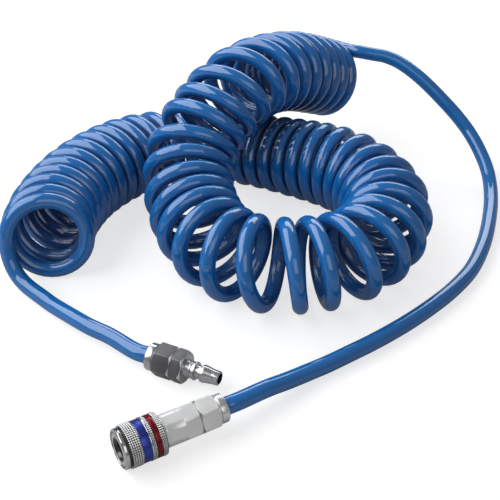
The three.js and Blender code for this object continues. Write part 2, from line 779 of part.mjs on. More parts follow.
function rearBody(hexEnd, end) {
  const thread = VALVE_BODY_DIAMETER / 2 + SEAT_GAP;
  const guide = GUIDE_DIAMETER / 2;
  const hexStart = hexEnd - REAR_HEX_LENGTH;
  const outside = rod([
    [GUIDE_PLACE, guide - 0.5],
    [GUIDE_PLACE + 0.5, guide],
    [hexStart - NECK_LENGTH, guide],
    [hexStart - NECK_LENGTH, HEX_FLATS / 2],
    [hexStart + 1, HEX_FLATS / 2],
  ]);
  const bore = rod([
    [GUIDE_PLACE - 1, thread],
    [VALVE_BODY_END + SEAT_GAP, thread],
    [VALVE_BODY_END + SEAT_GAP, VALVE_BORE / 2 - 0.4],
    [VALVE_SPRING_SEAT, VALVE_BORE / 2 - 0.4],
    [VALVE_SPRING_SEAT, FLOW_BORE / 2],
    [hexEnd - 2, FLOW_BORE / 2],
    [hexEnd, STEM_BORE / 2],
    [end + 1, STEM_BORE / 2],
  ]);
  const firstEnd = hexStart + FIRST_LAND_LENGTH;
  const secondEnd = firstEnd + SECOND_LAND_LENGTH;
  const [first, second] = [FIRST_LAND_DIAMETER / 2, SECOND_LAND_DIAMETER / 2];
  const beyond = HEX_FLATS; // past the hexagon's corners
  const lands = ring(
    [
      [hexStart - NECK_LENGTH / 2, first],
      [firstEnd, first],
      [firstEnd, second],
      [secondEnd, second],
    ],
    [
      [hexStart - NECK_LENGTH / 2, beyond],
      [secondEnd, beyond],
    ],
  );
  return outside
    .add(hexBar(hexStart, hexEnd, HEX_FLATS, HEX_CHAMFER, HEX_CHAMFER).subtract(lands))
    .add(hoseStem(hexEnd, end))
    .subtract(bore);
}

function releaseSleeve() {
  const core = SLEEVE_CORE / 2;
  const front = FRONT_DIAMETER / 2;
  const groove = front - GROOVE_DEPTH;
  const grip = BLUE_START - SEAT_GAP;
  const shellEnd = SLEEVE_LENGTH - SEAT_GAP;
  const land = LAND_BORE / 2;
  const lipClearance = LIP_WIDTH / 2 + SEAT_GAP;
  const slope = BALL_LIFT / SLEEVE_TRAVEL;
  const rampStart = LIP_DEPTH + SEAT_GAP;
  const grooveEnd = FRONT_LENGTH + GROOVE_WIDTH;
  const shell = ring(
    [
      [0, lipClearance],
      [rampStart, lipClearance],
      [rampStart, land + slope * (BALL_PLACE - rampStart)],
      [BALL_PLACE, land],
      [LAND_END, land],
      [LAND_END, SLEEVE_BORE / 2],
      [shellEnd, SLEEVE_BORE / 2],
    ],
    [
      [0, front - FRONT_BEVEL],
      [FRONT_BEVEL, front],
      [FRONT_LENGTH, front],
      [FRONT_LENGTH + GROOVE_DEPTH, groove],
      [grooveEnd, groove],
      [grooveEnd, core],
      [shellEnd, core],
    ],
  );
  return shell.add(knurledRing(grooveEnd, grip, core - SEAT_GAP, core + GRIP_RISE, KNURL_ROWS));
}

// The poppet: a nose that the plug pushes, a head, and a slotted skirt that runs in the valve bore.
function poppet() {
  const headStart = POPPET_HEAD_START;
  const headEnd = POPPET_HEAD_END;
  const outer = VALVE_BORE / 2 - SEAT_GAP;
  const nose = POPPET_NOSE / 2;
  let shape = turned(
    [
      [VALVE_PLACE - POPPET_REACH, 0],
      [VALVE_PLACE - POPPET_REACH, nose - 0.5],
      [VALVE_PLACE - POPPET_REACH + 0.5, nose],
      [headStart, nose],
      [headStart, outer],
      [POPPET_END, outer],
      [POPPET_END, outer - 1],
      [headEnd, outer - 1],
      [headEnd, 0],
    ],
    SMALL_SIDES,
  );
  for (let slot = 0; slot < POPPET_SLOTS; slot++) {
    const cut = new THREE.BoxGeometry(POPPET_SKIRT * 0.6, 3, outer);
    cut.translate(headEnd + POPPET_SKIRT * 0.4, 0, outer);
    cut.rotateX((slot * 2 * Math.PI) / POPPET_SLOTS);
    shape = shape.subtract(solid(cut));
  }
  return shape;
}

function balls() {
  const distance = BALL_REACH / 2 + BALL_DIAMETER / 2;
  return Array.from({ length: BALL_COUNT }, (unused, index) => {
    const angle = ((index + 0.5) * 2 * Math.PI) / BALL_COUNT;
    const ball = new THREE.IcosahedronGeometry(BALL_DIAMETER / 2, 1);
    ball.translate(BALL_PLACE, -Math.sin(angle) * distance, Math.cos(angle) * distance);
    return piece("lock_ball_" + (index + 1), "steel", solid(ball));
  });
}

function socket() {
  const group = new THREE.Group();
  const hexEnd = SLEEVE_LENGTH + NECK_LENGTH + REAR_HEX_LENGTH;
  const end = hexEnd + NUT_HEX + NUT_COLLAR;
  const core = SLEEVE_CORE / 2;
  const seat = core + SEAT_GAP;
  const lipEnd = NARROW_START + NARROW_RING_WIDTH * LIP_WIDTH_SHARE;
  const mouth = MOUTH_BORE / 2;
  const sealInner = POPPET_NOSE / 2 + SEAT_GAP;
  const wire = SPRING_WIRE / 2;
  const valveWire = VALVE_WIRE / 2;
  const narrowRing = tube(NARROW_START, lipEnd + OVERLAP, seat, core + LIP_RISE).add(
    knurledRing(lipEnd, NARROW_START + NARROW_RING_WIDTH, seat, core + NARROW_RING_RISE, 2),
  );
  const rear = piece("socket_rear_body", "nickel", rearBody(hexEnd, end));
  const nut = gripNut("socket_nut", "nickel", hexEnd);
  rear.rotation.x = nut.rotation.x = THREE.MathUtils.degToRad(SOCKET_ROLL);
  group.add(
    piece("socket_front_body", "nickel", frontBody()),
    rear,
    nut,
    piece("release_sleeve", "satin", releaseSleeve()),
    piece("sleeve_blue_band", "blue", tube(BLUE_START, BLUE_START + BLUE_BAND_WIDTH, seat, core + BLUE_BAND_RISE)),
    piece("sleeve_narrow_ring", "nickel", narrowRing),
    piece("sleeve_red_band", "red", tube(RED_START, RED_START + RED_BAND_WIDTH, seat, core + RED_BAND_RISE)),
    piece("sleeve_rear_rim", "satin", knurledRing(RIM_START, SLEEVE_LENGTH, seat, core + RIM_RISE, 2)),
    ...balls(),
    piece(
      "nose_seal",
      "rubber",
      tube(
        NOSE_SEAL_PLACE - NOSE_SEAL_WIDTH / 2,
        NOSE_SEAL_PLACE + NOSE_SEAL_WIDTH / 2,
        mouth - 0.1,
        mouth + NOSE_SEAL_DEPTH,
        SMALL_SIDES,
      ),
    ),
    piece("valve_poppet", "brass", poppet()),
    piece(
      "valve_seal",
      "rubber",
      tube(
        VALVE_PLACE + SEAT_GAP,
        VALVE_PLACE + SEAT_GAP + VALVE_SEAL_THICKNESS,
        sealInner,
        VALVE_BORE / 2 - 2 * SEAT_GAP,
        SMALL_SIDES,
      ),
    ),
    piece(
      "sleeve_spring",
      "steel",
      spring(
        LAND_END + SEAT_GAP + wire,
        GUIDE_PLACE - SEAT_GAP - wire,
        SPRING_MEAN / 2,
        wire,
        SPRING_TURNS,
      ),
    ),
    piece(
      "valve_spring",
      "steel",
      spring(
        POPPET_HEAD_END + SEAT_GAP + valveWire,
        VALVE_SPRING_SEAT - SEAT_GAP - valveWire,
        VALVE_SPRING_MEAN / 2,
        valveWire,
        VALVE_SPRING_TURNS,
      ),
    ),
    clampRing("socket_clamp_ring", hexEnd),
    grippedHose("hose_end_socket", hexEnd, end),
  );
  group.position.set(...SOCKET_MOUTH, SLEEVE_HEIGHT);
  return { group, end };
}

// ---- The whole hose ---------------------------------------------------------------------------
const part = new THREE.Group();
const plugFitting = plug();
const socketFitting = socket();

// Where a fitting's collar ends, and the way the hose leaves it.
function hoseExit({ group, end }) {
  const way = new THREE.Vector3(1, 0, 0).applyEuler(group.rotation);
  return { at: group.position.clone().addScaledVector(way, end), way };
}

const plugExit = hoseExit(plugFitting);
const socketExit = hoseExit(socketFitting);
part.add(
  plugFitting.group,
  socketFitting.group,
  piece("hose_coil", "hose", coil()),
  piece("hose_tail_plug", "hose", tail(PLUG_TAIL, plugExit.at, plugExit.way)),
  piece("hose_tail_socket", "hose", tail(SOCKET_TAIL, socketExit.at, socketExit.way)),
);

export default part;
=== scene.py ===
import math

import bpy
import numpy as np
from mathutils import Matrix, Vector


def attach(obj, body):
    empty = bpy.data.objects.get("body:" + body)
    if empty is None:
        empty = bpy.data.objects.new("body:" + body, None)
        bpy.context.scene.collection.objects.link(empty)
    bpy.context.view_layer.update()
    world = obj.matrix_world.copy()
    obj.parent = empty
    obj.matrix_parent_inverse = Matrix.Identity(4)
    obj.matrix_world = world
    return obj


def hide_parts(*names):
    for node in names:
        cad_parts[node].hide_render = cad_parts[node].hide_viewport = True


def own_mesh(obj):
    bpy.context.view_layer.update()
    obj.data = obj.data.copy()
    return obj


# The looks of a coiled air hose, with its quick-release socket and its plug. Sizes, routes and
# outlines are in millimetres, as in the CAD, and MM turns them into metres. The camera, the lamps,
# the floor and the materials are in metres.

MM = 0.001
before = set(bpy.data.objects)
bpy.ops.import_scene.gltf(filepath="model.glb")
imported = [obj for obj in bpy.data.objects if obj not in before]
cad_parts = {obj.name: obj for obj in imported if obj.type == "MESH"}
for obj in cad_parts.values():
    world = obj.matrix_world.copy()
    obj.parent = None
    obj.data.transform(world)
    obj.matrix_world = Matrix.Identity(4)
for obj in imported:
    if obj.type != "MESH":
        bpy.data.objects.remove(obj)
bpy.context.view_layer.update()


# ---- Camera -----------------------------------------------------------------------------------
CAMERA_LENS = 66.96
CAMERA_PLACE = (-0.16915, -0.40678, 0.432)
CAMERA_TILT = math.radians(55)
CAMERA_TURN = math.radians(-29.97)


def make_camera():
    data = bpy.data.cameras.new("camera")
    data.sensor_width = 36
    data.lens = CAMERA_LENS
    data.clip_start = 0.01
    data.clip_end = 50
    camera = bpy.data.objects.new("camera", data)
    camera.location = CAMERA_PLACE
    camera.rotation_euler = (CAMERA_TILT, 0, CAMERA_TURN)
    bpy.context.collection.objects.link(camera)
    bpy.context.scene.camera = camera


make_camera()


# ---- Route of the hose --------------------------------------------------------------------------
HOSE_DIAMETER = 12.0
HOSE_FLAT = 1.2  # how deep the coil is pressed flat where it stands
HOSE_FLOOR = 0.05  # how far its flat stays above the table
HOSE_SIDES = 24
COIL_RADIUS = 30.0  # from the coil's axis to the hose's own centre line
COIL_FIRST_TURN = 1.0  # whole turns have the hose on the left side of the coil, going up
COIL_LAST_TURN = 52.25
AXIS_FIRST_TURN = 0.43  # the turn that the first point of the axis stands for
AXIS_STEPS = 24  # between two points of the axis
SQUASH_SPREAD = 0.6  # how much a flattened turn widens
SEAT_GAP = 0.3  # between pieces that touch
TURN_STEPS = 40
TAIL_STEPS = 14
LEAD_STEPS = 12
LEAD_SHARE = 2.2  # a lead's length over that of each of its two handles
COLLAR_DEPTH = 1.5  # how far the hose goes into a fitting's collar

# x, y, lift off the table, gap between turns, height of a turn for its width, lean along the axis
COIL_AXIS = [
    (-15.8, 165.3, 0, 0.3, 1, 0.22),
    (-2.9, 193.8, 0, 0.3, 1, 0.17),
    (12.8, 212.9, 0, 0.3, 1, 0.1),
    (36, 235.4, 0, 0.75, 1, 0.05),
    (64.4, 251.9, 0, 0.85, 1, 0.02),
    (101.7, 266.1, 0, 0.95, 0.95, 0),
    (140, 268.2, 0, 0.85, 0.82, 0),
    (167.8, 258.7, 0, 0.85, 0.76, 0),
    (194.7, 236.2, 0, 0.5, 0.76, 0),
    (214.3, 205.4, 0, 1.3, 0.85, 0),
    (233.2, 168.1, 0, 1.2, 0.98, 0),
    (243.6, 144.5, 0, 0.4, 1, 0),
    (247.7, 115.1, 0, 0.3, 1, 0),
    (239.4, 82.3, 0, 0.3, 1, 0),
    (221.3, 59.1, 0, 0.3, 1, 0),
    (196.3, 44.6, 0, 0.6, 1, 0),
    (170, 39.7, 0, 1.2, 1, 0),
    (148.3, 44.4, 0, 2.4, 1, 0),
    (128, 52.6, 0, 2.2, 1, 0),
    (110, 65.4, 0, 0.8, 1, 0),
    (98.2, 87, 0, 0.3, 1, 0),
    (92.9, 107.3, 1.7, 0.2, 1, 0),
    (94.6, 129.4, 5.2, 0.2, 1, 0),
    (98.8, 151.1, 11.7, 0.2, 1, 0),
    (104.7, 167.3, 20.2, 0.2, 1, 0),
    (115.1, 182.7, 31.6, 0.2, 0.97, 0),
    (128.7, 193.7, 45.3, 0.2, 0.93, 0),
    (147, 199.9, 57.2, 0.6, 0.9, 0),
    (168.7, 209.2, 68.3, 2.5, 0.88, 0),
    (199.2, 221.9, 69.7, 4, 0.9, 0),
    (238.6, 238.8, 57.6, 3.5, 0.97, 0),
    (268.2, 251, 42.7, 2.5, 1, 0),
    (305.2, 263.8, 23.7, 2.5, 1, 0),
]
PLUG_TAIL = [
    (-29.7, 142.2, 6.6), (-26.4, 131.6, 6.2), (-20.6, 112, 8), (-13.6, 91.3, 9.4),
    (-5.1, 72.8, 10.2),
]
SOCKET_TAIL = [
    (334.4, 234.8, 87), (341.1, 228.6, 86.1), (349.4, 219.4, 82.5), (357.3, 208.2, 76),
    (364.8, 194.5, 67), (371.9, 179.3, 56), (377.5, 163, 45), (380.7, 146.1, 33.5),
    (379.3, 128, 22.5), (372.5, 108.7, 13.5), (355.9, 85.1, 7.5), (330.4, 58.6, 6.1),
    (301.3, 33, 6.1), (270.6, 11.9, 6.1), (240.5, -1.3, 6.1), (213.8, -9.2, 6.1),
    (190, -14.6, 6.1), (169.1, -18.1, 6.1), (149.2, -20.5, 6.1), (131.2, -21.9, 6.1),
    (113.3, -23.2, 6.1), (96.3, -24.3, 7), (79.4, -26.3, 9.1), (61.4, -28.3, 11.9),
]

# ---- Sizes of the fittings, as in the CAD -------------------------------------------------------
SOCKET_MOUTH = Vector((-44, -31.1, 14))
PLUG_TIP = Vector((40.3, -3.7, 10.5))
PLUG_TURN = math.radians(124.7)
SOCKET_ROLL = math.radians(10)
HEX_FLATS = 21.0
HEX_FLAT = HEX_FLATS / 2
HEX_EDGE = 0.2  # how far a hexagon's end faces are turned below its flats
HEX_CHAMFER = 1.3
HEX_CORNER_CUT = 0.15  # how far a hexagon's corners are turned down
CHAMFER_RISE = HEX_FLATS / math.sqrt(3) - HEX_FLAT + 2 * HEX_EDGE
NUT_HEX = 13.5
NUT_COLLAR = 6.4
NUT_BORE = 8.0
COLLAR_RADIUS = 9.6
COLLAR_CHAMFER = 0.7
COLLAR_BORE = 6.3
CONE_LENGTH = 3.84
CLAMP_LENGTH = 3.8
CLAMP_CONE = 2.4
CLAMP_GAP = 0.5
SPIGOT_RADIUS = 7.7
SPIGOT_LENGTH = 8
STEM_ROOT = 3.4
STEM_BARB = 3.7
STEM_BARB_PLACE = 9.5
STEM_TIP = 3.35
STEM_END = 19.2
STEM_BORE = 2.6
FLOW_BORE = 3.6
PLUG_HEX_CHAMFER = 2.1
PLUG_HEX_START = 24.6
PLUG_HEX_END = 33.3
PLUG_END = PLUG_HEX_END + NUT_HEX + NUT_COLLAR
SOCKET_HEX_START = 28.6
SOCKET_HEX_END = 52.5
SOCKET_END = SOCKET_HEX_END + NUT_HEX + NUT_COLLAR
FIRST_LAND_LENGTH = 2.2  # the rear hexagon's corners are turned down in two steps
FIRST_LAND_RADIUS = 11.2
LANDS_LENGTH = 13.4
SECOND_LAND_RADIUS = 11.0
BALL_COUNT = 6
BALL_RADIUS = 2.25
BALL_PLACE = 7
BALL_RING = 7.4  # from the socket's axis to a ball's centre
CORE = 12.6  # the outside of the sleeve under its rings
SEAT = CORE + SEAT_GAP
KNURL_RADIUS = 14.0
KNURL_TEETH = 60

# How finely the pieces are drawn.
FINE_SIDES = 128
BODY_SIDES = 96
SMALL_SIDES = 64
HOLE_SIDES = 32
BALL_STEPS = 16
KNURL_STEPS = 8  # for each point of a knurl, round it and along it
SPRING_STEPS = 32  # for each turn of a spring
WIRE_SIDES = 12
STEP = 0.01  # the length of a step between two radii
SHARP = 28.0
SMALL = 1e-9


def unit(v):
    v = np.asarray(v, float)
    return v / np.maximum(np.linalg.norm(v, axis=-1, keepdims=True), 1e-12)


def coil_axis():
    """The coil's axis as close points: centre, way along, squash, lean, and the turn reached."""
    rows = np.array(COIL_AXIS, float)
    rows = np.vstack([2 * rows[0] - rows[1], rows, 2 * rows[-1] - rows[-2]])
    spans = len(COIL_AXIS) - 1
    steps = np.arange(spans * AXIS_STEPS + 1)
    span = np.minimum(steps // AXIS_STEPS, spans - 1)
    t = (steps / AXIS_STEPS - span)[:, None]
    weights = [
        (1 - t) ** 3 / 6,
        (3 * t**3 - 6 * t**2 + 4) / 6,
        (-3 * t**3 + 3 * t**2 + 3 * t + 1) / 6,
        t**3 / 6,
    ]
    values = sum(w * rows[span + k] for k, w in enumerate(weights))
    gap, squash, lean = values[:, 3], values[:, 4], values[:, 5]
    centre = values[:, :3].copy()
    centre[:, 2] += COIL_RADIUS * squash + HOSE_DIAMETER / 2 - HOSE_FLAT
    after = np.minimum(steps + 1, steps[-1])
    before = np.maximum(steps - 1, 0)
    along = unit(centre[after] - centre[before])
    turning = np.linalg.norm(along[after] - along[before], axis=1)
    bend = turning / np.linalg.norm(centre[after] - centre[before], axis=1)
    reach = COIL_RADIUS * (1 + SQUASH_SPREAD * (1 - squash))
    per_mm = (1 - reach * bend) / (HOSE_DIAMETER + gap)
    far = np.linalg.norm(np.diff(centre, axis=0), axis=1)
    turned = np.cumsum((per_mm[1:] + per_mm[:-1]) / 2 * far)
    return centre, along, squash, lean, AXIS_FIRST_TURN + np.concatenate([[0], turned])


def coil_points(axis, turns):
    """The hose's centres at those turn numbers."""
    centre, along, squash, lean, turn = axis
    turns = np.atleast_1d(np.asarray(turns, float))
    after = np.maximum(np.searchsorted(turn, turns), 1)
    before = after - 1
    share = ((turns - turn[before]) / (turn[after] - turn[before]))[:, None]
    middle = centre[before] * (1 - share) + centre[after] * share
    way = unit(along[before] * (1 - share) + along[after] * share)
    flat = squash[before][:, None] * (1 - share) + squash[after][:, None] * share
    back = lean[before][:, None] * (1 - share) + lean[after][:, None] * share
    up = unit(np.array([0, 0, 1.0]) - way * way[:, 2:])
    side = np.cross(up, way)
    angle = (2 * math.pi * turns)[:, None]
    wide = COIL_RADIUS * (1 + SQUASH_SPREAD * (1 - flat))
    high = COIL_RADIUS * flat * np.sin(angle)
    return middle + side * wide * np.cos(angle) + (up + way * back) * high


def lead(end, heading, tail):
    """The curve from the coil's end into the straight stub that meets a tail."""
    start, second = (np.array(p, float) for p in tail[:2])
    way = unit(second - start)
    stub = start - way * (SEAT_GAP + HOSE_DIAMETER)
    reach = np.linalg.norm(end - stub) / LEAD_SHARE
    corners = [end, end + heading * reach, stub - way * reach, stub]
    t = np.linspace(0, 1, LEAD_STEPS + 1)[1:, None]
    weights = [(1 - t) ** 3, 3 * t * (1 - t) ** 2, 3 * t**2 * (1 - t), t**3]
    curve = sum(w * c for w, c in zip(weights, corners))
    return np.vstack([curve, stub + way * HOSE_DIAMETER / 2])


def tail_points(points, fitting_end, way):
    """A free stretch through its points, straight where it goes into the fitting's collar."""
    end = np.asarray(fitting_end, float)
    route = np.array([*points, end + way * HOSE_DIAMETER, end + way * SEAT_GAP], float)
    padded = np.vstack([2 * route[0] - route[1], route, 2 * route[-1] - route[-2]])
    out = []
    for k in range(len(route) - 1):
        p0, p1, p2, p3 = padded[k : k + 4]
        m1, m2 = (p2 - p0) / 2, (p3 - p1) / 2
        t = (np.arange(TAIL_STEPS) / TAIL_STEPS)[:, None]
        out.append(
            (2 * t**3 - 3 * t**2 + 1) * p1
            + (t**3 - 2 * t**2 + t) * m1
            + (-2 * t**3 + 3 * t**2) * p2
            + (t**3 - t**2) * m2
        )
    return np.vstack([*out, route[-1], end - way * COLLAR_DEPTH])


def hose_route():
    """The hose's centres from the plug to the socket, and where it leaves the socket."""
    axis = coil_axis()
    count = round((COIL_LAST_TURN - COIL_FIRST_TURN) * TURN_STEPS)
    coil = coil_points(axis, COIL_FIRST_TURN + np.arange(count + 1) / TURN_STEPS)

    def heading(turn, step):
        a, b = coil_points(axis, [turn, turn + step])
        return unit(b - a)

    socket_way = np.array([1.0, 0, 0])
    plug_way = np.array([math.cos(PLUG_TURN), math.sin(PLUG_TURN), 0])
    socket_exit = np.array(SOCKET_MOUTH) + socket_way * SOCKET_END
    plug_exit = np.array(PLUG_TIP) + plug_way * PLUG_END
    route = np.vstack(
        [
            tail_points(PLUG_TAIL, plug_exit, plug_way)[::-1],
            lead(coil[0], heading(COIL_FIRST_TURN, -0.01), PLUG_TAIL)[::-1],
            coil,
            lead(coil[-1], heading(COIL_LAST_TURN, 0.01), SOCKET_TAIL),
            tail_points(SOCKET_TAIL, socket_exit, socket_way),
        ]
    )
    return route, socket_exit


# ---- Meshes -----------------------------------------------------------------------------------
def make_piece(name, vertices, faces, sharp, uvs=None):
    mesh = bpy.data.meshes.new(name)
    mesh.from_pydata([tuple(v) for v in vertices], [], faces)
    mesh.validate()
    mesh.update()
    if uvs is not None:
        layer = mesh.uv_layers.new(name="UVMap")
        layer.data.foreach_set("uv", np.asarray(uvs, np.float32).ravel())
    mesh.polygons.foreach_set("use_smooth", [True] * len(mesh.polygons))
    mesh.set_sharp_from_angle(angle=math.radians(sharp))
    made = bpy.data.objects.new(name, mesh)
    bpy.context.collection.objects.link(made)
    return made


def sweep(name, line, radius, sides, floor=None):
    """A tube along a line, with u round it and v along it in metres, pressed flat on the floor.
    Its sections turn as little as they can from one point to the next."""
    line = np.asarray(line, float)
    tangent = unit(np.gradient(line, axis=0))
    normal = np.zeros_like(line)
    normal[0] = unit(np.cross(tangent[0], [0, 0, 1.0]))
    for k in range(1, len(line)):
        step = line[k] - line[k - 1]
        c = step @ step
        carried = normal[k - 1] - step * (2 / c) * (step @ normal[k - 1])
        turned = tangent[k - 1] - step * (2 / c) * (step @ tangent[k - 1])
        other = tangent[k] - turned
        c = other @ other
        if c > SMALL**2:
            carried = carried - other * (2 / c) * (other @ carried)
        normal[k] = unit(carried - tangent[k] * (tangent[k] @ carried))
    second = np.cross(tangent, normal)
    angle = np.arange(sides) / sides * 2 * math.pi
    rings = (
        line[:, None]
        + radius * normal[:, None] * np.cos(angle)[None, :, None]
        + radius * second[:, None] * np.sin(angle)[None, :, None]
    )
    if floor is not None:
        rings[:, :, 2] = np.maximum(rings[:, :, 2], floor)
    far = np.concatenate([[0], np.cumsum(np.linalg.norm(np.diff(line, axis=0), axis=1))])
    faces, uvs = [], []
    for k in range(len(line) - 1):
        for s in range(sides):
            n = (s + 1) % sides
            faces.append((k * sides + s, k * sides + n, (k + 1) * sides + n, (k + 1) * sides + s))
            u, next_u = s / sides, (s + 1) / sides
            uvs += [(u, far[k]), (next_u, far[k]), (next_u, far[k + 1]), (u, far[k + 1])]
    last = (len(line) - 1) * sides
    faces.append(tuple(reversed(range(sides))))
    faces.append(tuple(range(last, last + sides)))
    uvs += [(0, far[0])] * sides + [(0, far[-1])] * sides
    return make_piece(name, rings.reshape(-1, 3), faces, 60, uvs)


def softened(outline, radius, steps=2):
    """A closed outline with each corner rounded: every corner gives steps + 1 points."""
    out = []
    points = [np.array(p, float) for p in outline]
    for i, b in enumerate(points):
        u, v = points[i - 1] - b, points[(i + 1) % len(points)] - b
        lu, lv = np.linalg.norm(u), np.linalg.norm(v)
        cut = min(radius, 0.4 * lu, 0.4 * lv)
        p0 = b + u * (cut / max(lu, SMALL))
        p2 = b + v * (cut / max(lv, SMALL))
        for k in range(steps + 1):
            t = k / steps
            out.append(tuple((1 - t) ** 2 * p0 + 2 * t * (1 - t) * b + t * t * p2))
    return out


def spun(name, columns, angles, place, sharp=SHARP):
    """A closed outline turned about X: columns(angle) gives its (x, radius) points, in
    millimetres. A radius of 0 closes the solid on the axis."""
    rows = [columns(a) for a in angles]
    count, sides = len(rows[0]), len(angles)
    vertices, index = [], {}
    for s, (angle, row) in enumerate(zip(angles, rows)):
        for k, (x, r) in enumerate(row):
            if r <= SMALL:
                key = ("axis", k)
                if key not in index:
                    index[key] = len(vertices)
                    vertices.append((x * MM, 0.0, 0.0))
                index[(s, k)] = index[key]
            else:
                index[(s, k)] = len(vertices)
                vertices.append((x * MM, -math.sin(angle) * r * MM, math.cos(angle) * r * MM))
    faces = []
    for s in range(sides):
        n = (s + 1) % sides
        for k in range(count):
            m = (k + 1) % count
            corners = [index[(s, k)], index[(n, k)], index[(n, m)], index[(s, m)]]
            face = [c for i, c in enumerate(corners) if c != corners[i - 1]]
            if len(set(face)) > 2:
                faces.append(tuple(face))
    made = make_piece(name, vertices, faces, sharp)
    made.matrix_world = place
    return made


def even(sides):
    return [2 * math.pi * s / sides for s in range(sides)]


def lathe(name, outline, sides=FINE_SIDES, round_by=0.12):
    """A turned piece of the socket."""
    points = softened(outline, round_by)
    return spun(name, lambda angle: points, even(sides), SOCKET_PLACE)


def axis_place(origin, turn=0.0):
    return Matrix.Translation(Vector(origin) * MM) @ Matrix.Rotation(turn, 4, "Z")


SOCKET_PLACE = axis_place(SOCKET_MOUTH)
PLUG_PLACE = axis_place(PLUG_TIP, PLUG_TURN)


def hex_angles(extra=(), roll=0.0):
    """Angles round a hexagon, close together at its corners. The first flat faces up."""
    inside = {0.0, 7.0, 14.0, 20.0, 25.0, 28.0, 29.2, *extra}
    offsets = sorted({-a for a in inside} | inside | {30.0})
    return [math.radians(60 * flat + a) + roll for flat in range(6) for a in offsets]


def hex_radius(angle, roll=0.0):
    away = math.radians((math.degrees(angle - roll) + 30) % 60 - 30)
    return min(HEX_FLAT / math.cos(away), HEX_FLAT / math.cos(math.radians(30)) - HEX_CORNER_CUT)


def chamfer_depth(radius, chamfer):
    """How far from a hexagon's end its turned chamfer reaches that radius."""
    return (radius - HEX_FLAT + HEX_EDGE) / CHAMFER_RISE * chamfer


def spigot_and_stem(hex_end):
    """The outside of what a hexagon has behind it, as far as the stem's bore."""
    return [
        (hex_end, SPIGOT_RADIUS),
        (hex_end + SPIGOT_LENGTH, SPIGOT_RADIUS),
        (hex_end + SPIGOT_LENGTH, STEM_ROOT),
        (hex_end + STEM_BARB_PLACE, STEM_BARB),
        (hex_end + STEM_END, STEM_TIP),
        (hex_end + STEM_END, STEM_BORE),
    ]


# ---- Materials --------------------------------------------------------------------------------
# The sockets of a Mix node, for plain values and for colours.
MIX_A, MIX_B, MIX_OUT = 2, 3, 0
MIX_COLOUR_A, MIX_COLOUR_B, MIX_COLOUR_OUT = 6, 7, 2


class Nodes:
    """A material's nodes, made one line each."""

    def __init__(self, name):
        self.material = bpy.data.materials.new(name)
        self.material.use_nodes = True
        self.tree = self.material.node_tree
        self.shader = self.tree.nodes["Principled BSDF"]

    def add(self, kind, links=None, **values):
        node = self.tree.nodes.new(kind)
        for key, value in values.items():
            setattr(node, key, value)
        for socket, value in (links or {}).items():
            self.put(node.inputs[socket], value)
        return node

    def put(self, socket, value):
        if isinstance(value, bpy.types.NodeSocket):
            self.tree.links.new(value, socket)
        else:
            socket.default_value = value

    def ramp(self, fac, stops):
        node = self.add("ShaderNodeValToRGB", {"Fac": fac})
        for element, (at, colour) in zip(node.color_ramp.elements, stops):
            element.position = at
            element.color = (*colour, 1)
        return node.outputs["Color"]

    def grey(self, fac, low, high, start=0.3, end=0.7):
        node = self.add(
            "ShaderNodeMapRange",
            {"Value": fac, "From Min": start, "From Max": end, "To Min": low, "To Max": high},
        )
        return node.outputs["Result"]

    def mix(self, factor, a, b):
        node = self.add("ShaderNodeMix", {"Factor": factor, MIX_A: a, MIX_B: b})
        return node.outputs[MIX_OUT]

    def noise(self, vector, scale, detail=3.0, rough=0.55, stretch=None):
        if stretch is not None:
            node = self.add("ShaderNodeMapping", {"Vector": vector, "Scale": stretch})
            vector = node.outputs["Vector"]
        node = self.add(
            "ShaderNodeTexNoise",
            {"Vector": vector, "Scale": scale, "Detail": detail, "Roughness": rough},
        )
        return node.outputs["Fac"]

    def bump(self, height, distance, strength, normal=None):
        links = {"Height": height, "Distance": distance, "Strength": strength}
        if normal is not None:
            links["Normal"] = normal
        return self.add("ShaderNodeBump", links).outputs["Normal"]

    def set(self, **values):
        for name, value in values.items():
            self.put(self.shader.inputs[name.replace("_", " ")], value)


def hose_material(name, deep, mid, shade, rough):
    """Glossy extruded polyurethane: faint draw lines along it, cloudy tone, light scuffs, and
    painted shade: its colour goes towards the shade colour where the turns of the coil enclose it."""
    n = Nodes(name)
    place = n.add("ShaderNodeTexCoord")
    uv, spot = place.outputs["UV"], place.outputs["Object"]
    cloud = n.noise(spot, 28.0, 4.0)
    lines = n.noise(uv, 1.0, 2.0, stretch=(46.0, 5.0, 1.0))
    colour = n.ramp(n.mix(0.35, cloud, lines), [(0.32, deep), (0.68, mid)])
    # Painted shade: ambient occlusion from the hose itself darkens its colour where the coil
    # encloses it.
    open_air = n.add("ShaderNodeAmbientOcclusion", {"Distance": 0.06}, samples=8, only_local=True)
    inside = n.grey(open_air.outputs["AO"], 0.9, 0.0, 0.15, 0.72)
    colour_with_painted_shade = n.add(
        "ShaderNodeMix",
        {"Factor": inside, MIX_COLOUR_A: colour, MIX_COLOUR_B: (*shade, 1)},
        data_type="RGBA",
    )
    n.set(Base_Color=colour_with_painted_shade.outputs[MIX_COLOUR_OUT])
    scuff = n.noise(spot, 420.0, 3.0, 0.7, stretch=(1.0, 1.0, 2.5))
    n.set(Roughness=n.grey(scuff, rough, rough + 0.14, 0.56, 0.78), IOR=1.5)
    n.set(Specular_IOR_Level=0.9)
    ripple = n.bump(lines, 0.00005, 0.5)
    n.set(Normal=n.bump(n.noise(spot, 900.0, 2.0), 0.00001, 0.4, ripple))
    return n.material


